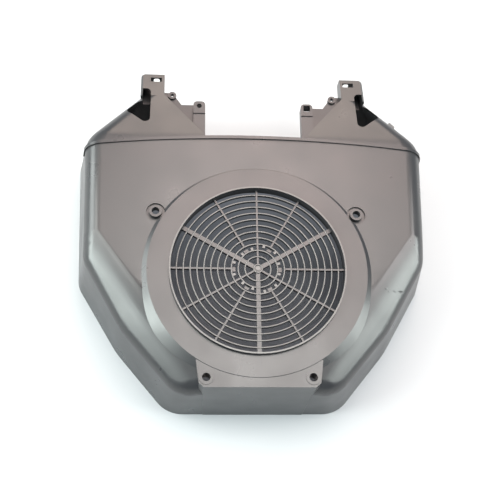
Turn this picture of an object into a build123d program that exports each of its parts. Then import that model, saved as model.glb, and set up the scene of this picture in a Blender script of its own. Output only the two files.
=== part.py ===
from build123d import *
import os
from math import cos, radians, sin, sqrt, tan

# Fan cover of a twin-cylinder ride-on mower engine: one thin-walled moulding that lies on its rim.
# Millimetres and degrees. Plan places are measured from the fan axis, with +Y towards the arms,
# and levels are heights above the rim.

os.makedirs("parts", exist_ok=True)

# Shell
wall = 2.6
cover_height = 113.0
rolled_edge = 22.0

# Plan of the walls at the rim
low_wall_y = 146.0
low_half = 103.0
flank_half = 166.5
flank_y = 70.6
waist_half = 217.0
waist_y = 14.0
shoulder_half = 224.0
shoulder_y = 191.0
end_wall_y = 238.0
arm_inner_x = 113.0
ear_inner_x = 61.0
ridge_wall_y = 173.0
low_corner = 40.0
flank_round = 120.0
side_corner = 34.0

# Draft of the outer walls
low_draft = 4.0
flank_draft = 9.0
side_draft = 9.0
cheek_draft = 15.5

# Roof: it rises gently to a crest near the arms, falls towards them, and rounds off along both flanks
crest_y = 170.5
crest_rise = 0.8
crest_round = 60.0
main_tilt = 2.5
upper_tilt = 11.4
fall_turn = 35.6
fall_start = 95.0
fall_round = 90.0
fall_slope = 36.0
fall_run = 60.0

# Plateau round the grille, and the apron that carries the two lower screws
plateau_radius = 128.0
plateau_depth = 26.0
plateau_foot_radius = 151.0
plateau_foot_shift = 13.0
apron_drop = 1.0
apron_proud = 0.6
apron_rim_half = 65.0
apron_top_half = 67.0
apron_flare = 4.0
apron_back_y = 108.0
apron_corner = 5.0

# Raised bead along the crest
bead_width = 4.0
bead_height = 1.5
bead_end_drop = 14.0
bead_floor = 84.0

# Intake collar and grille
collar_inner = 100.8
collar_wall = 1.8
collar_rise = 5.0
collar_drop = 9.0
ring_count = 11
ring_sides = 36
inner_ring_sides = 24
inner_ring_reach = 64.0
first_ring = 15.0
ring_pitch = 7.9
ring_width = 1.7
ring_depth = 2.2
grille_drop = 1.0
spoke_count = 12
thin_spoke = 2.1
wide_spoke_count = 3
wide_spoke = 4.9
wide_spoke_turn = 30.0
spoke_depth = 3.3
hub_radius = 5.2
lug_length = 3.4
lug_width = 2.4
lug_spread = 15.0

# Screw bosses
upper_screw_x = 119.4
upper_screw_y = 70.7
upper_hole = 9.2
upper_boss = 7.6
upper_recess = 11.2
recess_drop = 5.5
recess_floor = 4.0
lower_screw_x = 59.3
lower_screw_y = 127.7
lower_hole = 9.5
lower_boss = 8.4
lower_boss_rise = 0.8
boss_sleeve = 20.0

# Arms with their slots
arm_outer_x = 142.7
arm_reach = 273.0
arm_depth = 17.0
arm_corner = 5.5
arm_chamfer = 2.5
slot_length = 14.0
slot_width = 6.8
slot_inset = 10.8
slot_x = 123.4
arch_radius = 3.9
arch_rise = 5.0

# Corner holes in the cheeks beside the arms
corner_hole_x = 129.5
corner_hole_low_y = 186.5
corner_hole_high_y = 247.0
corner_hole_tip_x = 161.0
corner_hole_tip_y = 212.0
corner_hole_neck_x = 146.0
corner_hole_neck_y = 227.5
corner_hole_round = 6.0

# Catch on the right cheek
catch_x = 175.5
catch_level = 93.0
catch_length = 8.5
catch_height = 10.0
catch_rise = 2.4

# Ears between the arms
ear_drop = 30.0
ear_plate = 3.0
ear_boss_x = 103.0
ear_boss_y = 245.5
ear_boss_radius = 5.2
ear_boss_hole = 4.8
ear_boss_rise = 3.0
ear_post_width = 15.0
ear_post_y = 233.5
ear_post_corner = 5.0
ear_post_drop = 21.5
ear_pad_rise = 1.5
ear_pad_length = 17.0
ear_hole_x = 68.6
ear_hole_y = 227.0
ear_round_hole = 6.4
ear_square_hole = 8.6

# Directions that tell the walls apart by their normals
half = 0.5
slant = 0.3
broadside = 0.8

# Places that follow from the sizes above
low_reach = low_wall_y + apron_proud
fan_y = (low_reach - arm_reach) / 2
fan = Plane((0, fan_y, 0))
crest_level = cover_height + crest_rise
apron_level = cover_height - apron_drop
ring_top = cover_height - grille_drop
spoke_top = ring_top - ring_depth
second_ring = first_ring + ring_pitch
third_ring = second_ring + ring_pitch
collar_outer = collar_inner + collar_wall
bead_end_y = crest_y - bead_end_drop
bead_middle_y = ridge_wall_y - bead_width / 2
cheek_end_x = shoulder_half - (end_wall_y - shoulder_y)
catch_y = shoulder_half + shoulder_y - catch_x - catch_level * tan(radians(cheek_draft)) * sqrt(2)
slot_y = arm_reach - slot_inset
web_end_y = slot_y - slot_width / 2
arm_tip_level = crest_level - (arm_reach - crest_y) * tan(radians(upper_tilt))
arm_floor = arm_tip_level - arm_depth
upper_screws = [(upper_screw_x, upper_screw_y), (-upper_screw_x, upper_screw_y)]
lower_screws = [(lower_screw_x, -lower_screw_y), (-lower_screw_x, -lower_screw_y)]
block_height = cover_height + 2 * rolled_edge
far = 2 * (shoulder_half + arm_reach)


def stands(face):
    """True for a wall: its normal is closer to level than to upright."""
    return abs(face.normal_at().Z) < half


def is_low_wall(face):
    return stands(face) and face.normal_at().Y < -broadside


def is_flank(face):
    return stands(face) and -broadside < face.normal_at().Y < -slant


def is_side(face):
    return abs(face.normal_at().X) > broadside and abs(face.normal_at().Y) < slant


def is_cheek(face):
    normal = face.normal_at()
    return stands(face) and normal.Y > slant and abs(normal.X) > slant and normal.X * face.center().X > 0


def is_outer_wall(face):
    return stands(face) and (face.normal_at().Y < slant or is_cheek(face))


def is_roof(face):
    return face.normal_at().Z > half


def is_upright(edge):
    return abs(edge.tangent_at(half).Z) > broadside


def above_roof(inset):
    """Everything above the roof, which is lowered by the inset."""
    with BuildPart() as above:
        with BuildSketch(Plane.YZ):
            with BuildLine():
                crest = (fan_y + crest_y, crest_level - inset)
                low = (crest[0] - far, crest[1] - far * tan(radians(main_tilt)))
                high = (crest[0] + far, crest[1] - far * tan(radians(upper_tilt)))
                FilletPolyline(low, crest, high, radius=crest_round)
                Polyline(low, (low[0], far), (high[0], far), high)
            make_face()
        extrude(amount=far, both=True)
    return above.part


def beyond_fall(inset):
    """What the rounded fall of the roof takes off along the right flank."""
    tilt = radians(main_tilt)
    middle = Vector(0, fan_y, crest_level - inset - crest_y * tan(tilt))
    roof = Plane(middle, x_dir=(1, 0, 0), z_dir=(0, -sin(tilt), cos(tilt))).rotated((0, 0, -fall_turn))
    with BuildPart() as beyond:
        with BuildSketch(Plane(roof.origin, x_dir=roof.x_dir, z_dir=-roof.y_dir)):
            with BuildLine():
                bend = CenterArc((fall_start, -fall_round), fall_round, 90, -fall_slope)
                run = Line(bend @ 1, (bend @ 1) + (bend % 1) * fall_run)
                Polyline(run @ 1, ((run @ 1).X, fall_run), (fall_start, fall_run), bend @ 0)
            make_face()
        extrude(amount=far, both=True)
    return beyond.part


def apron_section(level, half_width, reach, inset):
    """Section of the apron at one level, drawn in by the inset."""
    with BuildSketch(fan.offset(level)) as section:
        with BuildLine():
            Polyline(
                (-half_width, -reach),
                (half_width, -reach),
                (half_width + apron_flare, -apron_back_y),
                (-half_width - apron_flare, -apron_back_y),
                close=True,
            )
        make_face()
        chamfer(section.vertices().group_by(Axis.Y)[0], apron_corner)
        offset(amount=-inset, kind=Kind.INTERSECTION)
    return section.sketch


def cover_form(inset):
    """The cover's outer form, closed below by the rim plane, drawn in by the inset all over."""
    with BuildPart() as form:
        with BuildSketch(fan):
            with BuildLine():
                Polyline(
                    (0, -low_wall_y),
                    (low_half, -low_wall_y),
                    (flank_half, -flank_y),
                    (waist_half, waist_y),
                    (shoulder_half, shoulder_y),
                    (cheek_end_x, end_wall_y),
                    (arm_inner_x, end_wall_y),
                    (ear_inner_x, ridge_wall_y),
                    (0, ridge_wall_y),
                )
                mirror(about=Plane.YZ)
            make_face()
            offset(amount=-inset, kind=Kind.INTERSECTION)
        extrude(amount=block_height)

        # Each outer wall leans in by its own draft, and the corners between them are rounded
        draft(form.faces().filter_by(is_low_wall), Plane.XY, low_draft)
        draft(form.faces().filter_by(is_flank), Plane.XY, flank_draft)
        draft(form.faces().filter_by(is_side), Plane.XY, side_draft)
        draft(form.faces().filter_by(is_cheek), Plane.XY, cheek_draft)
        side_corners = form.edges().filter_by(is_upright).sort_by(lambda edge: abs(edge.center().X))[-4:]
        fillet(side_corners, side_corner - inset)
        fillet(form.edges().filter_by(is_upright).sort_by(Axis.Y)[2:4], flank_round - inset)
        fillet(form.edges().filter_by(is_upright).sort_by(Axis.Y)[:2], low_corner - inset)

        add(above_roof(inset), mode=Mode.SUBTRACT)
        add(beyond_fall(inset), mode=Mode.SUBTRACT)
        mirror(beyond_fall(inset), about=Plane.YZ, mode=Mode.SUBTRACT)
        wall_edges = form.faces().filter_by(is_outer_wall).edges()
        fillet(wall_edges & form.faces().filter_by(is_roof).edges(), rolled_edge - inset)

        # Plateau: its side is steeper towards the low wall
        with BuildSketch(fan.offset(cover_height - inset)):
            Circle(plateau_radius - inset)
        with BuildSketch(fan.offset(cover_height - inset - plateau_depth)):
            with Locations((0, plateau_foot_shift)):
                Circle(plateau_foot_radius - inset)
        loft()

        # Apron
        apron_top_y = low_reach - apron_level * tan(radians(low_draft))
        rim_section = apron_section(0, apron_rim_half, low_reach, inset)
        top_section = apron_section(apron_level - inset, apron_top_half, apron_top_y, inset)
        loft([rim_section, top_section], ruled=True)
    return form.part


def bead_form():
    """The crest's section from wall to wall, raised by the bead's height and drawn out along Y."""
    side_lean = tan(radians(side_draft))
    side_run = (bead_end_y - waist_y) / (shoulder_y - waist_y)
    rim_x = waist_half + (shoulder_half - waist_half) * side_run + bead_height
    bead_top = crest_level + bead_height
    floor_x = rim_x - bead_floor * side_lean
    top_x = rim_x - bead_top * side_lean
    with BuildPart() as form:
        with BuildSketch(Plane.XZ):
            with BuildLine():
                ends = [(-floor_x, bead_floor), (floor_x, bead_floor)]
                tops = [(-top_x, bead_top), (top_x, bead_top)]
                FilletPolyline(ends[0], *tops, ends[1], radius=rolled_edge + bead_height)
                Line(*ends)
            make_face()
        extrude(amount=far, both=True)
    return form.part


def arm_box(inset, root):
    """The right arm under the sloping roof, drawn in by the inset."""
    width = arm_outer_x - arm_inner_x - 2 * inset
    with BuildPart() as box:
        with BuildSketch(fan.offset(arm_floor)):
            with Locations((arm_inner_x + inset, root)):
                Rectangle(width, arm_reach - inset - root, align=(Align.MIN, Align.MIN))
        extrude(amount=cover_height - arm_floor)
        add(above_roof(inset), mode=Mode.SUBTRACT)
    return box.part


# Right arm: a box open below past its web, with a slot in its roof and an arch in its tip
with BuildPart() as right_arm:
    add(arm_box(0, end_wall_y - wall))
    tip = right_arm.edges().filter_by(Axis.Z).group_by(Axis.X)[-1].sort_by(Axis.Y)[-1]
    fillet(tip, arm_corner)
    chamfer(right_arm.faces().sort_by(Axis.Z)[-1].edges().sort_by(Axis.X)[-1], arm_chamfer)
    add(arm_box(wall, end_wall_y), mode=Mode.SUBTRACT)
    with BuildSketch(fan.offset(arm_floor)):
        with Locations((arm_inner_x, end_wall_y - wall)):
            web_size = (arm_outer_x - arm_inner_x, web_end_y - end_wall_y + wall)
            Rectangle(*web_size, align=(Align.MIN, Align.MIN))
    extrude(amount=wall)
    with BuildSketch(fan.offset(arm_floor + wall)):
        with Locations((slot_x, slot_y)):
            Rectangle(slot_length, slot_width)
    extrude(amount=2 * arm_depth, mode=Mode.SUBTRACT)
    with BuildSketch(Plane.XZ.offset(-fan_y - arm_reach)):
        with Locations((slot_x, arm_floor)):
            Rectangle(2 * arch_radius, 2 * arch_rise)
        with Locations((slot_x, arm_floor + arch_rise)):
            Circle(arch_radius)
    extrude(amount=arm_corner, mode=Mode.SUBTRACT)

# Right ear: a plate below the roof with a small boss, and a hollow post with a pad on top
with BuildPart() as right_ear:
    ear_floor = cover_height - ear_drop - ear_plate
    post_level = cover_height - ear_post_drop
    post_outer_x = ear_inner_x + ear_post_width
    with BuildSketch(fan.offset(ear_floor)) as plate:
        with BuildLine():
            Polyline(
                (arm_inner_x + wall, end_wall_y - wall),
                (arm_inner_x + wall, ear_boss_y + ear_boss_radius),
                (ear_boss_x, ear_boss_y + ear_boss_radius),
                (post_outer_x + ear_post_width, ear_post_y),
                (ear_inner_x, ear_post_y),
                (ear_inner_x, ridge_wall_y - wall),
                (ear_inner_x + wall, ridge_wall_y - wall),
                close=True,
            )
        make_face()
        fillet(plate.vertices().group_by(Axis.X)[0].sort_by(Axis.Y)[-1:], ear_post_corner)
    extrude(amount=ear_plate)
    with BuildSketch(fan.offset(ear_floor)):
        with Locations((ear_boss_x, ear_boss_y)):
            Circle(ear_boss_radius)
    extrude(amount=ear_plate + ear_boss_rise)
    with BuildSketch(fan.offset(ear_floor)) as post:
        with BuildLine():
            Polyline(
                (ear_inner_x, ridge_wall_y - wall),
                (ear_inner_x, ear_post_y),
                (post_outer_x, ear_post_y),
                (post_outer_x, ridge_wall_y + ear_post_width - wall),
                close=True,
            )
        make_face()
        fillet(post.vertices().group_by(Axis.Y)[-1], ear_post_corner)
    extrude(amount=post_level - ear_floor)
    with BuildSketch(fan.offset(post_level)) as pad:
        with Locations((ear_inner_x, ear_post_y)):
            Rectangle(ear_post_width, ear_pad_length, align=(Align.MIN, Align.MAX))
        fillet(pad.vertices().group_by(Axis.Y)[-1], ear_post_corner)
    extrude(amount=ear_pad_rise)
    with BuildSketch(fan.offset(ear_floor)):
        with Locations((ear_inner_x + wall, ear_post_y - wall)):
            Rectangle(ear_post_width - 2 * wall, ear_pad_length, align=(Align.MIN, Align.MAX))
    extrude(amount=post_level + ear_pad_rise - wall - ear_floor, mode=Mode.SUBTRACT)
    with Locations((ear_boss_x, fan_y + ear_boss_y, ear_floor)):
        Cylinder(ear_boss_hole / 2, 4 * ear_drop, mode=Mode.SUBTRACT)

with BuildPart() as fan_cover:
    # Shell with the bead along its crest
    add(cover_form(0))
    with BuildSketch(fan.offset(bead_floor)):
        with BuildLine():
            ThreePointArc((-waist_half, bead_end_y), (0, bead_middle_y), (waist_half, bead_end_y))
        trace(line_width=bead_width)
    bead = extrude(amount=block_height - bead_floor, mode=Mode.PRIVATE)
    add(bead & bead_form())
    add(cover_form(wall), mode=Mode.SUBTRACT)

    # Arms and ears; the left ear's hole is round and the right one's square
    add(right_arm.part)
    mirror(right_arm.part, about=Plane.YZ)
    add(right_ear.part)
    mirror(right_ear.part, about=Plane.YZ)
    with BuildSketch(fan.offset(cover_height - ear_post_drop)):
        with Locations((-ear_hole_x, ear_hole_y)):
            Circle(ear_round_hole / 2)
        with Locations((ear_hole_x, ear_hole_y)):
            Rectangle(ear_square_hole, ear_square_hole)
    extrude(amount=ear_pad_rise * 2, both=True, mode=Mode.SUBTRACT)

    # Corner holes, which open the arms' roots above their webs and leave the cheeks' walls standing
    with BuildSketch(fan.offset(arm_floor + wall)) as corner_holes:
        with BuildLine():
            Polyline(
                (corner_hole_x, corner_hole_high_y),
                (corner_hole_x, corner_hole_low_y),
                (corner_hole_tip_x, corner_hole_tip_y),
                (corner_hole_neck_x, corner_hole_neck_y),
                (arm_outer_x - wall, corner_hole_neck_y),
                (arm_outer_x - wall, corner_hole_high_y),
                close=True,
            )
        make_face()
        tip_corners = corner_holes.vertices().sort_by(Axis.X)[-1:]
        low_corners = corner_holes.vertices().sort_by(Axis.Y)[:1]
        high_corners = corner_holes.vertices().group_by(Axis.X)[0].sort_by(Axis.Y)[-1:]
        fillet(tip_corners + low_corners + high_corners, corner_hole_round)
        mirror(about=Plane.YZ)
    extrude(amount=cover_height - arm_floor, mode=Mode.SUBTRACT)

    # Catch, half sunk in the leaning cheek
    cheek_out = (1, 1, sqrt(2) * tan(radians(cheek_draft)))
    with Locations(Plane((catch_x, fan_y + catch_y, catch_level), x_dir=(1, -1, 0), z_dir=cheek_out)):
        Box(catch_length, catch_height, 2 * catch_rise)

    # Upper screw bosses, each in a round recess
    with BuildSketch(fan.offset(cover_height - recess_drop - recess_floor)):
        with Locations(upper_screws):
            Circle(upper_recess + wall)
    extrude(amount=recess_floor)
    with BuildSketch(fan.offset(cover_height - recess_drop)):
        with Locations(upper_screws):
            Circle(upper_recess)
    extrude(amount=recess_drop, mode=Mode.SUBTRACT)
    with BuildSketch(fan.offset(cover_height - recess_drop)):
        with Locations(upper_screws):
            Circle(upper_boss)
    extrude(amount=recess_drop)

    # Lower screw bosses, which go through the apron
    with BuildSketch(fan.offset(apron_level - boss_sleeve)):
        with Locations(lower_screws):
            Circle(lower_boss)
    extrude(amount=boss_sleeve + lower_boss_rise)
    with BuildSketch(fan.offset(cover_height - boss_sleeve - wall)):
        with Locations(upper_screws):
            Circle(upper_hole / 2)
        with Locations(lower_screws):
            Circle(lower_hole / 2)
    extrude(amount=boss_sleeve + 2 * wall, mode=Mode.SUBTRACT)

    # Intake collar
    with BuildSketch(fan.offset(cover_height - collar_drop)):
        Circle(collar_outer)
    extrude(amount=collar_drop + collar_rise)
    with BuildSketch(fan.offset(cover_height - collar_drop)):
        Circle(collar_inner)
    extrude(amount=collar_drop + collar_rise, mode=Mode.SUBTRACT)

    # Grille: rings that lie on spokes, a hub, and lugs between two of the rings
    spoke_end = (collar_inner + collar_outer) / 2
    with BuildSketch(fan.offset(spoke_top - spoke_depth)):
        with PolarLocations(0, wide_spoke_count, start_angle=wide_spoke_turn):
            Rectangle(spoke_end, wide_spoke, align=(Align.MIN, Align.CENTER))
        with PolarLocations(0, wide_spoke_count, start_angle=-wide_spoke_turn):
            Rectangle(third_ring, thin_spoke, align=(Align.MIN, Align.CENTER))
        with PolarLocations(third_ring, spoke_count):
            Rectangle(spoke_end - third_ring, thin_spoke, align=(Align.MIN, Align.CENTER))
    extrude(amount=spoke_depth)
    with BuildSketch(fan.offset(spoke_top - spoke_depth)):
        Circle(hub_radius)
    extrude(amount=spoke_depth + ring_depth)
    with BuildSketch(fan.offset(spoke_top)):
        for step in reversed(range(ring_count)):
            radius = first_ring + step * ring_pitch
            sides = inner_ring_sides if radius < inner_ring_reach else ring_sides
            RegularPolygon(radius + ring_width / 2, sides, rotation=180 / sides)
            RegularPolygon(radius - ring_width / 2, sides, rotation=180 / sides, mode=Mode.SUBTRACT)
        for turn in (lug_spread, -lug_spread):
            with PolarLocations(second_ring, wide_spoke_count, start_angle=turn):
                Rectangle(lug_length, lug_width, align=(Align.MIN, Align.CENTER))
            with PolarLocations(third_ring, wide_spoke_count, start_angle=turn - 2 * wide_spoke_turn):
                Rectangle(lug_length, lug_width, align=(Align.MAX, Align.CENTER))
    extrude(amount=ring_depth)

fan_cover.part.label = "fan_cover"
export_step(fan_cover.part, "parts/fan_cover.step")
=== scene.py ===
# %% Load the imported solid
import math

import bmesh
import bpy
from mathutils import Matrix, Vector


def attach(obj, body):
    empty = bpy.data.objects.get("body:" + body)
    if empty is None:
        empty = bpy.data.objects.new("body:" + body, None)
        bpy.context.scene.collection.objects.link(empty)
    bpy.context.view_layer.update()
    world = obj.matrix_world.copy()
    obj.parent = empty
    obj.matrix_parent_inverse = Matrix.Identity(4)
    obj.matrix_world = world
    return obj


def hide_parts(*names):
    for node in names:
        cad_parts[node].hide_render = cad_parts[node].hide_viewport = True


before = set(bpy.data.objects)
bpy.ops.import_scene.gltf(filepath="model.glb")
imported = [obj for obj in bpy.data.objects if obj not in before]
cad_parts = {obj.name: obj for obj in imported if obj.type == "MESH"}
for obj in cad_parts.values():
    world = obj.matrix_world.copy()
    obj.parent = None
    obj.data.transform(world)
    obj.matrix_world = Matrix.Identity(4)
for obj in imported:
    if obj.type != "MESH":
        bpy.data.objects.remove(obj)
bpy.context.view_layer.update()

cover_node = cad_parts["fan_cover"]
print("cover solid:", len(cover_node.data.polygons), "triangles")

# %% [markdown]
# The object is the plastic cover over the cooling fan of a ride-on mower's engine. It is one moulding,
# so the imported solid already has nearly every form. All of it could be modelled again here, but two
# models would then have to agree. So the scene shows a cleaned copy of that solid, puts a grille with
# truly round rings in place of the solid's many-sided ones, and adds the plastic and the studio.
# Sizes are in millimetres here and become metres where a mesh or a node needs them.

# %% Shared sizes
MM = 0.001
fan_y = -63.2
ring_top = 112.0
spoke_drop = 0.5
spoke_depth = 5.0
collar_inner = 100.8
collar_outer = 102.6
fan_centre = Vector((0, fan_y, 0)) * MM
print("fan axis at", tuple(round(v, 4) for v in fan_centre))


# %% [markdown]
# Two small helpers serve every step. The first turns the hex colour that a paint program shows into
# the linear colour that the renderer works in. The second adds one node to a tree, sets its
# properties, and fills or links its inputs, so that a tree reads as a list of steps.


# %% Helpers
def linear(hex_colour):
    """A hex sRGB colour as linear red, green, blue and alpha."""
    channels = [int(hex_colour[i:i + 2], 16) / 255 for i in (1, 3, 5)]
    curve = [c / 12.92 if c <= 0.04045 else ((c + 0.055) / 1.055) ** 2.4 for c in channels]
    return (*curve, 1.0)


def add(tree, kind, inputs=None, **settings):
    """Adds a node to the tree; an input is a plain value or another node's output."""
    node = tree.nodes.new(kind)
    for name, value in settings.items():
        setattr(node, name, value)
    for key, value in (inputs or {}).items():
        if isinstance(value, bpy.types.NodeSocket):
            tree.links.new(value, node.inputs[key])
        else:
            node.inputs[key].default_value = value
    return node


print("mid grey in linear light:", round(linear("#808080")[0], 3))

# %% [markdown]
# The cover is injection-moulded plastic, coloured nearly black, with a fine spark-eroded satin grain.
# Fresh from the tool it would be even; this one has been handled and wiped, so its gloss drifts a
# little from place to place. A picture of such a surface could be wrapped round it, but it would need
# seams and a fixed sharpness. Noise in the object's own coordinates needs neither. The greys that the
# camera sees are reflections, so the work is in the roughness: a soft cloud of it some 40 mm across,
# and a grain of 0.8 mm, which is drawn coarser than the real one so that it shows at all.

# %% Satin moulded plastic
refraction = 1.55
cloud_size = 40.0
cloud_low = 0.3
cloud_high = 0.7
least_rough = 0.27
most_rough = 0.35
grain_size = 0.8
grain_height = 0.05
grain_strength = 0.08
plastic = bpy.data.materials.new("Satin moulded ABS")
plastic.use_nodes = True
tree = plastic.node_tree
shader = tree.nodes["Principled BSDF"]
shader.inputs["IOR"].default_value = refraction
place = add(tree, "ShaderNodeTexCoord").outputs["Object"]
cloud = add(tree, "ShaderNodeTexNoise", {"Vector": place, "Scale": 1 / (cloud_size * MM), "Detail": 3.0})
gloss = add(tree, "ShaderNodeMapRange",
            {"Value": cloud.outputs["Fac"], "From Min": cloud_low, "From Max": cloud_high,
             "To Min": least_rough, "To Max": most_rough})
tree.links.new(gloss.outputs["Result"], shader.inputs["Roughness"])
grain = add(tree, "ShaderNodeTexNoise", {"Vector": place, "Scale": 1 / (grain_size * MM), "Detail": 2.0})
bump = add(tree, "ShaderNodeBump",
           {"Height": grain.outputs["Fac"], "Strength": grain_strength, "Distance": grain_height * MM})
print("material:", plastic.name)

# %% [markdown]
# The tops of the collar, the rings, the lugs and the hub stand highest at the intake and have rounded
# edges that catch light from above, so a paler colour is painted on them as a highlight. They could get
# a second material, but then the edge of the pale part would follow the edges of faces. Here one
# material finds the painted highlight by three rules: a place is painted paler where it lies within the
# collar, is higher than the spokes, and faces up.

# %% Painted highlight on the tops
plastic_colour = "#2c2c2d"
painted_highlight_colour = "#4e4e4d"
painted_highlight_level = ring_top - 0.25
painted_highlight_blend = 0.1
least_upward = 0.6
most_upward = 0.9
level = add(tree, "ShaderNodeSeparateXYZ", {"Vector": place}).outputs["Z"]
high = add(tree, "ShaderNodeMapRange",
           {"Value": level, "From Min": (painted_highlight_level - painted_highlight_blend) * MM,
            "From Max": (painted_highlight_level + painted_highlight_blend) * MM})
in_plan = add(tree, "ShaderNodeVectorMath", {0: place, 1: (1, 1, 0)}, operation="MULTIPLY")
from_axis = add(tree, "ShaderNodeVectorMath", {0: in_plan.outputs[0], 1: fan_centre}, operation="DISTANCE")
within = add(tree, "ShaderNodeMath", {0: from_axis.outputs["Value"], 1: collar_outer * MM},
             operation="LESS_THAN")
facing = add(tree, "ShaderNodeNewGeometry").outputs["Normal"]
facing_z = add(tree, "ShaderNodeSeparateXYZ", {"Vector": facing}).outputs["Z"]
upward = add(tree, "ShaderNodeMapRange",
             {"Value": facing_z, "From Min": least_upward, "From Max": most_upward})
on_top = add(tree, "ShaderNodeMath", {0: high.outputs[0], 1: upward.outputs[0]}, operation="MULTIPLY")
painted_highlight = add(tree, "ShaderNodeMath", {0: on_top.outputs[0], 1: within.outputs[0]}, operation="MULTIPLY")
# painted highlight: the paler colour is mixed in where the mask is set
tint = add(tree, "ShaderNodeMix",
           {0: painted_highlight.outputs[0], 6: linear(plastic_colour), 7: linear(painted_highlight_colour)}, data_type="RGBA")
tree.links.new(tint.outputs[2], shader.inputs["Base Color"])
print("rubbed above", painted_highlight_level, "mm")

# %% [markdown]
# A used cover has been knocked. A row of small burrs and a dent run down the right flank to its rolled
# edge, and a faint ridge crosses the low wall near its right end. A thin seam below the grille is where
# two streams of plastic met in the tool. They are a fraction of a millimetre high, too little for the
# mesh, so they are heights in the material: a Mapping node turns and stretches space until each mark
# is a ball of radius one, and the height fades from the ball's middle to its skin. Each row below has
# a mark's middle, its turn about Y in degrees, its half sizes, and its height, which is negative for a
# hollow.

# %% Knocks and seam
flank_turn = 28
wall_turn = 87.5
marks = [
    ((151.5, -81.6, 100.3), flank_turn, (2.6, 1.7, 3.0), 0.22),
    ((155.5, -84.2, 98.6), flank_turn, (2.0, 1.2, 3.0), 0.15),
    ((163.0, -82.9, 95.2), flank_turn, (3.8, 1.6, 3.0), 0.22),
    ((171.5, -82.5, 90.6), flank_turn, (5.5, 1.5, 3.0), -0.35),
    ((62.8, -206.2, 46.0), wall_turn, (36.0, 5.0, 1.8), 0.05),
    ((1.0, -174.0, 113.0), 0, (0.9, 9.0, 2.0), -0.04),
]
height = 0.0
for middle, turn, half_sizes, rise in marks:
    local = add(tree, "ShaderNodeMapping",
                {"Vector": place, "Location": Vector(middle) * MM, "Rotation": (0, math.radians(turn), 0),
                 "Scale": Vector(half_sizes) * MM}, vector_type="TEXTURE")
    reach = add(tree, "ShaderNodeVectorMath", {0: local.outputs[0]}, operation="LENGTH")
    mark = add(tree, "ShaderNodeMapRange",
               {"Value": reach.outputs["Value"], "From Max": 1.0, "To Min": rise * MM, "To Max": 0.0},
               interpolation_type="SMOOTHSTEP")
    total = add(tree, "ShaderNodeMath", {0: mark.outputs["Result"], 1: height}, operation="ADD")
    height = total.outputs[0]
knocked = add(tree, "ShaderNodeBump",
              {"Height": height, "Distance": 1.0, "Strength": 1.0, "Normal": bump.outputs["Normal"]})
tree.links.new(knocked.outputs["Normal"], shader.inputs["Normal"])
print("marks:", len(marks))

# %% [markdown]
# The shell is a copy of the imported solid. Its triangles are loose, so they are welded first: only edges
# that two faces share can be shaded smooth. The many-sided rings and spokes are then taken out of the
# collar, because a later step makes them round. They could be picked out by hand, but a rule with a
# reach and a level finds them again whenever the solid changes.


# %% Weld the copy and empty the collar
def in_grille(face):
    """Whether the middle of a face lies within the collar, no lower than the spokes."""
    centre = face.calc_center_median()
    return (centre - fan_centre).xy.length < grille_reach and centre.z > grille_floor


weld_gap = 0.001
reach_margin = 0.25
floor_margin = 0.5
grille_reach = (collar_inner - reach_margin) * MM
grille_floor = (ring_top - spoke_drop - spoke_depth - floor_margin) * MM
shell_mesh = cover_node.data.copy()
shell_mesh.name = "cover_shell"
bm = bmesh.new()
bm.from_mesh(shell_mesh)
bmesh.ops.remove_doubles(bm, verts=bm.verts, dist=weld_gap * MM)
old_grille = [face for face in bm.faces if in_grille(face)]
bmesh.ops.delete(bm, geom=old_grille, context="FACES")
bm.normal_update()
print("shell:", len(bm.faces), "triangles,", len(old_grille), "of the old grille taken out")

# %% [markdown]
# The plateau round the intake has a slanting side, a cone whose foot lies further back than its top.
# Its foot is a crease in the roof, but at the back it is so shallow that a limit on the angle would
# miss it. So the side is found by its shape: a corner lies on it where the corner's distance from the
# cone's middle is the cone's radius at that level.

# %% Find the plateau's side
plateau_level = 113.0
plateau_depth = 26.0
plateau_radius = 128.0
plateau_foot_radius = 151.0
plateau_foot_shift = 13.0
cone_margin = 0.2
flat_limit = 0.999


def cone_drop(point):
    """How far down the plateau's side a point is, from 0 at the top to 1 at the foot."""
    return (plateau_level - point.z / MM) / plateau_depth


def from_cone_middle(point):
    """The way in plan, in millimetres, from the middle of the plateau's side at the point's level."""
    return point.xy / MM - Vector((0, fan_y + plateau_foot_shift * cone_drop(point)))


def touches_cone(point):
    """Whether a point lies on the outside of the plateau's side."""
    drop = cone_drop(point)
    radius = plateau_radius + (plateau_foot_radius - plateau_radius) * drop
    return 0 <= drop <= 1 and abs(from_cone_middle(point).length - radius) < cone_margin


def on_cone(face):
    """Whether a face slants and has all its corners on the plateau's side."""
    return abs(face.normal.z) <= flat_limit and all(touches_cone(vert.co) for vert in face.verts)


cone_faces = {face for face in bm.faces if on_cone(face)}
print("plateau's side:", len(cone_faces), "triangles")

# %% [markdown]
# A moulding has crisp edges where parts of its tool meet, and rolled edges elsewhere. Edges sharper
# than a limit stay crisp, and so do those round the plateau's side. All others are shaded smooth. A
# Weighted Normal modifier lets the largest face beside a corner lead its normal, so that flat stretches
# stay flat next to a rolled edge. A bevel could do that too, but with many more triangles.

# %% Crisp and smooth edges
crease_limit = math.radians(30)
for edge in bm.edges:
    sides = {face in cone_faces for face in edge.link_faces}
    edge.smooth = edge.calc_face_angle(math.pi) < crease_limit and len(sides) == 1
crisp_count = sum(not edge.smooth for edge in bm.edges)
bm.faces.index_update()
side_faces = [face.index for face in cone_faces]
bm.to_mesh(shell_mesh)
bm.free()
shell_mesh.polygons.foreach_set("use_smooth", [True] * len(shell_mesh.polygons))
shell_mesh.materials.clear()
shell_mesh.materials.append(plastic)
shell = bpy.data.objects.new("cover_shell", shell_mesh)
bpy.context.scene.collection.objects.link(shell)
weighted = shell.modifiers.new("flat faces lead", "WEIGHTED_NORMAL")
weighted.keep_sharp = True
weighted.weight = 100
print("crisp edges:", crisp_count)

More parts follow.
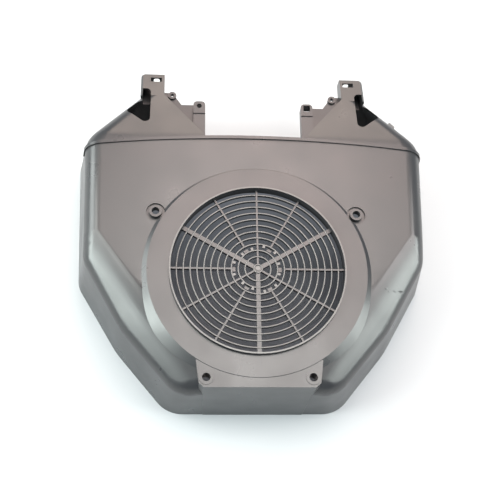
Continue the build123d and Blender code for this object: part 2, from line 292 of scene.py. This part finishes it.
# %% [markdown]
# On the real cover the plateau's side is a little hollow and runs softly into the falls of the flanks,
# so it shows more light than a plain cone. Another form would part the shell from the solid, so only
# the normals are eased: to one slope in front and at the sides, and to less of it towards the back,
# where the side runs out in the roof. None of them faces the front more than the falls do.

# %% Ease the plateau's side
side_slope = math.radians(36)
back_slope = math.radians(12)
most_frontward = -0.6
bpy.context.view_layer.update()
shell_result = shell.evaluated_get(bpy.context.evaluated_depsgraph_get())
eased_mesh = bpy.data.meshes.new_from_object(shell_result)
normals = [corner.vector.copy() for corner in eased_mesh.corner_normals]
side_corners = [corner for index in side_faces for corner in eased_mesh.polygons[index].loop_indices]
for corner in side_corners:
    vertex = eased_mesh.vertices[eased_mesh.loops[corner].vertex_index]
    outward = from_cone_middle(vertex.co).normalized()
    outward.y = max(outward.y, most_frontward)
    outward.normalize()
    slope = side_slope + (back_slope - side_slope) * max(outward.y, 0)
    normals[corner] = Vector((*(outward * math.sin(slope)), math.cos(slope)))
eased_mesh.normals_split_custom_set(normals)
shell.modifiers.clear()
shell.data = eased_mesh
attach(shell, "root")
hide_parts("fan_cover")
print("corners eased:", len(side_corners))

# %% [markdown]
# The grille keeps fingers and grass out of the fan: eleven thin rings stand on edge across nine thin
# spokes and three wide ones, round a small hub. It could be modelled ring by ring, but all of it
# follows from a few sizes, which is what Geometry Nodes are for. The tree takes the rings' sizes as
# named inputs, so that the same tree could make the rings of another cover.

# %% Grille tree
first_ring = 15.0
ring_pitch = 7.9
ring_count = 11
ring_width = 1.7
ring_depth = 4.2
ring_edge_round = 0.45
grille_sizes = {
    "First radius": first_ring * MM,
    "Pitch": ring_pitch * MM,
    "Ring width": ring_width * MM,
    "Ring depth": ring_depth * MM,
    "Edge round": ring_edge_round * MM,
}
grille_tree = bpy.data.node_groups.new("Intake grille", "GeometryNodeTree")
grille_tree.interface.new_socket(name="Geometry", in_out="OUTPUT", socket_type="NodeSocketGeometry")
grille_tree.interface.new_socket(name="Ring count", in_out="INPUT", socket_type="NodeSocketInt")
for size_name in grille_sizes:
    grille_tree.interface.new_socket(name=size_name, in_out="INPUT", socket_type="NodeSocketFloat")
given = add(grille_tree, "NodeGroupInput").outputs
index = add(grille_tree, "GeometryNodeInputIndex").outputs["Index"]
print("inputs of the grille:", [socket.name for socket in given if socket.name])

# %% [markdown]
# Each ring is a thin wall with a little round on its edges. A unit circle is placed once for each ring
# and scaled to its radius, and a rounded rectangle is then swept along it. If a finished ring were
# scaled instead, the outer rings would get thicker; this way every ring has the same section.

# %% Rings
ring_sides = 144
round_steps = 3
seats = add(grille_tree, "GeometryNodePoints", {"Count": given["Ring count"]})
radius = add(grille_tree, "ShaderNodeMath", {0: index, 1: given["Pitch"], 2: given["First radius"]},
             operation="MULTIPLY_ADD").outputs[0]
spread = add(grille_tree, "ShaderNodeCombineXYZ", {"X": radius, "Y": radius, "Z": 1.0})
circle = add(grille_tree, "GeometryNodeCurvePrimitiveCircle", {"Resolution": ring_sides, "Radius": 1.0})
placed = add(grille_tree, "GeometryNodeInstanceOnPoints",
             {"Points": seats.outputs[0], "Instance": circle.outputs["Curve"], "Scale": spread.outputs[0]})
paths = add(grille_tree, "GeometryNodeRealizeInstances", {"Geometry": placed.outputs[0]})
oblong = add(grille_tree, "GeometryNodeCurvePrimitiveQuadrilateral",
             {"Width": given["Ring width"], "Height": given["Ring depth"]})
section = add(grille_tree, "GeometryNodeFilletCurve",
              {"Curve": oblong.outputs[0], "Radius": given["Edge round"], "Count": round_steps},
              mode="POLY")
rings = add(grille_tree, "GeometryNodeCurveToMesh",
            {"Curve": paths.outputs[0], "Profile Curve": section.outputs[0]})
half_depth = add(grille_tree, "ShaderNodeMath", {0: given["Ring depth"], 1: -0.5}, operation="MULTIPLY")
ring_shift = add(grille_tree, "ShaderNodeCombineXYZ", {"Z": half_depth.outputs[0]})
rings_down = add(grille_tree, "GeometryNodeTransform",
                 {"Geometry": rings.outputs[0], "Translation": ring_shift.outputs[0]})
joined = add(grille_tree, "GeometryNodeJoinGeometry", {"Geometry": rings_down.outputs[0]})
print("rings:", ring_count, "from", first_ring, "to", first_ring + (ring_count - 1) * ring_pitch, "mm")

# %% [markdown]
# Twelve spokes carry the rings and end nearly flush with them. They come in threes, 120 degrees apart,
# so one small function serves them all: it makes a bar that lies between two radii, and turns copies of
# it about the hub. The three wide spokes and every third thin one start in the hub, and the other thin
# ones start at the third ring, so that the middle stays open.


# %% Spokes
def turned_bars(first_turn, inner, outer, width, top, depth):
    """Three equal bars from the inner to the outer radius, linked into the grille."""
    bar = add(grille_tree, "GeometryNodeMeshCube", {"Size": Vector((outer - inner, width, depth)) * MM})
    middle = Vector(((inner + outer) / 2, 0, top - depth / 2)) * MM
    out = add(grille_tree, "GeometryNodeTransform",
              {"Geometry": bar.outputs["Mesh"], "Translation": middle})
    turn = add(grille_tree, "ShaderNodeMath",
               {0: index, 1: math.tau / 3, 2: math.radians(first_turn)}, operation="MULTIPLY_ADD")
    about = add(grille_tree, "ShaderNodeCombineXYZ", {"Z": turn.outputs[0]})
    hubs = add(grille_tree, "GeometryNodePoints", {"Count": 3})
    turned = add(grille_tree, "GeometryNodeInstanceOnPoints",
                 {"Points": hubs.outputs[0], "Instance": out.outputs[0], "Rotation": about.outputs[0]})
    grille_tree.links.new(turned.outputs[0], joined.inputs["Geometry"])


thin_spoke = 2.1
wide_spoke = 4.9
hub_radius = 5.7
spoke_start = 0.85 * hub_radius
spoke_end = (collar_inner + collar_outer) / 2
second_ring = first_ring + ring_pitch
third_ring = second_ring + ring_pitch
spokes = [
    (30, spoke_start, wide_spoke),
    (90, spoke_start, thin_spoke),
    (60, third_ring, thin_spoke),
    (120, third_ring, thin_spoke),
]
for first_turn, start, width in spokes:
    turned_bars(first_turn, start, spoke_end, width, -spoke_drop, spoke_depth)
print("spokes:", 3 * len(spokes))

# %% [markdown]
# Between the second ring and the third, short lugs stand in pairs, by turns on the inner ring and on
# the outer one, and a wider pad lies lower down in the middle of each pair, in line with a spoke. What
# they hold can't be seen in the photograph. They could be swept along a curve like the rings, but they
# are straight, so they are more bars from the function that makes the spokes.

# %% Lugs and pads
lug_length = 3.4
lug_width = 2.9
lug_depth = 2.2
lug_top = -0.1
pad_length = 4.4
pad_width = 5.4
pad_top = -3.4
pad_depth = ring_depth + pad_top
inner_pairs = 0
outer_pairs = -60
half_pair = 15
ring_overlap = ring_width / 3
inner_seat = second_ring + ring_overlap
outer_seat = third_ring - ring_overlap
for aside in (half_pair, -half_pair):
    turned_bars(inner_pairs + aside, inner_seat, inner_seat + lug_length, lug_width, lug_top, lug_depth)
    turned_bars(outer_pairs + aside, outer_seat - lug_length, outer_seat, lug_width, lug_top, lug_depth)
turned_bars(inner_pairs, inner_seat, inner_seat + pad_length, pad_width, pad_top, pad_depth)
turned_bars(outer_pairs, outer_seat - pad_length, outer_seat, pad_width, pad_top, pad_depth)
bar_count = 3 * sum(node.bl_idname == "GeometryNodeMeshCube" for node in grille_tree.nodes)
print("lugs and pads:", bar_count - 3 * len(spokes))

# %% [markdown]
# The hub is a disc with a raised rim and a button in the middle, as moulded where the plastic enters
# the tool. It could be turned from one profile, but its parts are at hand: the disc and the button are
# two cylinders, and the rim is one more small ring of the same section.


# %% Hub
def hub_disc(radius, drop):
    """A disc from its top, the given drop below the rings' top (above it where the drop is negative), down
    to the spokes' underside.
    """
    depth = spoke_drop + spoke_depth - drop
    disc = add(grille_tree, "GeometryNodeMeshCylinder",
               {"Vertices": hub_sides, "Radius": radius * MM, "Depth": depth * MM})
    lowered = add(grille_tree, "GeometryNodeTransform",
                  {"Geometry": disc.outputs["Mesh"], "Translation": (0, 0, -(drop + depth / 2) * MM)})
    grille_tree.links.new(lowered.outputs[0], joined.inputs["Geometry"])


hub_sides = 48
hub_rise = 0.7
groove_drop = 1.0
button_radius = 2.5
rim_radius = hub_radius - ring_width / 2
hub_disc(rim_radius, groove_drop - hub_rise)
hub_disc(button_radius, -hub_rise)
rim_path = add(grille_tree, "GeometryNodeCurvePrimitiveCircle",
               {"Resolution": hub_sides, "Radius": rim_radius * MM})
rim = add(grille_tree, "GeometryNodeCurveToMesh",
          {"Curve": rim_path.outputs["Curve"], "Profile Curve": section.outputs[0]})
rim_down = add(grille_tree, "GeometryNodeTransform",
               {"Geometry": rim.outputs[0], "Translation": (0, 0, (hub_rise - ring_depth / 2) * MM)})
grille_tree.links.new(rim_down.outputs[0], joined.inputs["Geometry"])
print("hub:", 2 * hub_radius, "mm across")

# %% [markdown]
# The grille so far lies at the origin, with the rings' top at level 0. It is lifted into the collar,
# its copies are made real, and it gets the plastic. It could stay a modifier, but a plain mesh goes
# into a file of any kind. So the result is taken over as a mesh, and the object that held the modifier
# is removed.

# %% Finish the grille
sharp_limit = math.radians(40)
lift = add(grille_tree, "GeometryNodeTransform",
           {"Geometry": joined.outputs[0], "Translation": (0, fan_y * MM, ring_top * MM)})
whole = add(grille_tree, "GeometryNodeRealizeInstances", {"Geometry": lift.outputs[0]})
coated = add(grille_tree, "GeometryNodeSetMaterial", {"Geometry": whole.outputs[0], "Material": plastic})
add(grille_tree, "NodeGroupOutput", {"Geometry": coated.outputs[0]})
holder = bpy.data.objects.new("grille_holder", bpy.data.meshes.new("grille_holder"))
bpy.context.scene.collection.objects.link(holder)
maker = holder.modifiers.new("grille", "NODES")
maker.node_group = grille_tree
for item in grille_tree.interface.items_tree:
    if item.in_out == "INPUT":
        maker[item.identifier] = ring_count if item.name == "Ring count" else grille_sizes[item.name]
bpy.context.view_layer.update()
grille_result = holder.evaluated_get(bpy.context.evaluated_depsgraph_get())
grille_mesh = bpy.data.meshes.new_from_object(grille_result)
bpy.data.objects.remove(holder)
grille_mesh.name = "intake_grille"
grille_mesh.shade_smooth()
grille_mesh.set_sharp_from_angle(angle=sharp_limit)
grille = bpy.data.objects.new("intake_grille", grille_mesh)
bpy.context.scene.collection.objects.link(grille)
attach(grille, "root")
levels = [vertex.co.z for vertex in grille_mesh.vertices]
print("grille:", len(grille_mesh.polygons), "faces, from", round(min(levels), 4),
      "to", round(max(levels), 4), "m high")

# %% [markdown]
# The cover lies on a sheet of white paper. In the photograph the gaps of the grille are dark, because
# little light gets under the cover, so a dark card lies on the paper below the grille and the screw
# holes as painted shade; its faint glow keeps that shade from going black. It ends well inside the rim,
# so it is narrower towards the low wall. A hole in the paper would be simpler, but then every gap would
# be equally black.


# %% Paper and a card of painted shade
def sheet(name, corners, level, colour, glow):
    """A flat matt sheet of the stage, in millimetres, which gives off a little light of its own."""
    mesh = bpy.data.meshes.new(name)
    mesh.from_pydata([Vector((x, y, level)) * MM for x, y in corners], [], [range(4)])
    matt = bpy.data.materials.new(name)
    matt.use_nodes = True
    paint = matt.node_tree.nodes["Principled BSDF"].inputs
    paint["Base Color"].default_value = linear(colour)
    paint["Roughness"].default_value = matt_roughness
    paint["Emission Color"].default_value = linear(colour)
    paint["Emission Strength"].default_value = glow
    mesh.materials.append(matt)
    flat = bpy.data.objects.new(name, mesh)
    bpy.context.scene.collection.objects.link(flat)
    return flat


matt_roughness = 0.9
paper_reach = 4000
paper_level = 0
paper_glow = 0.11
paper_corners = [(x * paper_reach, y * paper_reach) for x, y in ((-1, -1), (1, -1), (1, 1), (-1, 1))]
paper = sheet("White paper", paper_corners, paper_level, "#aeb1b3", paper_glow)
card_front = -172
card_back = 96
card_level = 0.5
card_glow = 0.32
card_corners = [(-106, card_front), (124, card_front), (155, card_back), (-140, card_back)]
card = sheet("Painted shade card", card_corners, card_level, "#515459", card_glow)
print("stage:", paper.name, "and", card.name)

# %% [markdown]
# The gaps of the far half are paler in the photograph, where more light gets in under the cover from
# the back. A second, paler card would end in a line, and a lamp under the cover would also shine out
# through the holes. So the one card glows more and more towards the back, as painted light.

# %% Painted light at the back of the card
pale_start = -20
pale_end = 90
back_glow = 5.5 * card_glow
card_tree = card.data.materials[0].node_tree
card_place = add(card_tree, "ShaderNodeTexCoord").outputs["Object"]
way_back = add(card_tree, "ShaderNodeSeparateXYZ", {"Vector": card_place}).outputs["Y"]
# painted light: the card's glow rises towards the back
paler = add(card_tree, "ShaderNodeMapRange",
            {"Value": way_back, "From Min": pale_start * MM, "From Max": pale_end * MM,
             "To Min": card_glow, "To Max": back_glow})
card_shader = card_tree.nodes["Principled BSDF"]
card_tree.links.new(paler.outputs["Result"], card_shader.inputs["Emission Strength"])
print("glow of the card: from", card_glow, "to", round(back_glow, 2))

# %% [markdown]
# Dark plastic shows what it mirrors. From the camera, the flat roof mirrors a patch overhead and a
# little behind the cover, and the falling flanks mirror low patches at the left and the right. One
# bright dome could light it all, but then roof and falls would look alike. So each patch gets a soft
# lamp of its own, and high lamps at both sides close the gaps between them, so that the light runs on
# from the roof into the falls. The lamps above and behind are a little warm and the low ones at the
# sides a little green, as the tints of the roof and of the falls show.


# %% Lamps
def soft_lamp(name, spot, width, height, watts, colour):
    """A large rectangular lamp that faces the cover; its place and its sizes are in metres."""
    lamp = bpy.data.lights.new(name, "AREA")
    lamp.shape = "RECTANGLE"
    lamp.size = width
    lamp.size_y = height
    lamp.energy = watts
    lamp.color = linear(colour)[:3]
    stand = bpy.data.objects.new(name, lamp)
    stand.location = spot
    stand.rotation_euler = (fan_centre - Vector(spot)).to_track_quat("-Z", "Y").to_euler()
    bpy.context.scene.collection.objects.link(stand)


soft_lamp("overhead", (0.15, 0.25, 2.0), 0.9, 0.7, 20, "#fffbf6")
soft_lamp("overhead back", (0.2, 0.95, 1.85), 0.9, 0.7, 15.5, "#ffe6de")
soft_lamp("back", (0.15, 1.8, 1.3), 1.4, 0.8, 20.5, "#ffe8d9")
soft_lamp("left front", (-1.7, -0.35, 0.85), 0.8, 0.8, 36, "#f4fffa")
soft_lamp("left back", (-1.7, 0.55, 0.85), 0.9, 0.8, 20, "#f8fffc")
soft_lamp("left high", (-1.3, 0.1, 1.5), 0.8, 0.8, 17, "#fefff9")
soft_lamp("left top", (-0.7, 0.5, 1.8), 0.8, 0.8, 6, "#ffece0")
soft_lamp("right front", (1.7, -0.35, 0.7), 0.8, 0.8, 25, "#f7fffa")
soft_lamp("right high", (1.35, 0, 1.45), 0.8, 0.8, 17, "#fff8f5")
soft_lamp("right top", (0.95, 0.5, 1.8), 0.8, 0.8, 5, "#ffe8dc")

# %% [markdown]
# What no lamp reaches is still not black in the photograph, so a weak bluish sky fills the shadows.
# More lamps could fill them, but each would show as one more patch on the plastic. The Standard view
# shows the tones as they are computed, without the soft curve of a film.

# %% Sky and tones
sky_strength = 0.42
world = bpy.data.worlds.new("studio")
bpy.context.scene.world = world
world.use_nodes = True
sky = world.node_tree.nodes["Background"].inputs
sky["Color"].default_value = linear("#d2eaff")
sky["Strength"].default_value = sky_strength
bpy.context.scene.view_settings.view_transform = "Standard"
print("sky:", world.name, "at", sky_strength)

# %% [markdown]
# The camera stands where the photograph was taken: in front of the low wall and high above it, a
# little to the left. It could be placed by eye, but the rings and the screw holes would then lie a few
# pixels off. So its turns were fitted to the rings of the grille and to the screw holes, and its
# distance comes from how the far arms shrink.

# %% Camera
tilt = math.radians(-22.12)
lean = math.radians(4.56)
twist = math.radians(0.91)
from_hub = Vector((-9.247, 21.507, 1003.73)) * MM
sensor_width = 36
focal_length = 62.6
to_camera = Matrix.Rotation(tilt, 3, "X") @ Matrix.Rotation(lean, 3, "Y") @ Matrix.Rotation(twist, 3, "Z")
from_camera = to_camera.transposed()
hub = Vector((0, fan_y, ring_top)) * MM
lens = bpy.data.cameras.new("photograph")
lens.sensor_width = sensor_width
lens.lens = focal_length
camera = bpy.data.objects.new("photograph", lens)
camera.matrix_world = Matrix.Translation(hub + from_camera @ from_hub) @ from_camera.to_4x4()
bpy.context.scene.collection.objects.link(camera)
bpy.context.scene.camera = camera
print("camera at", tuple(round(v, 3) for v in camera.matrix_world.translation))
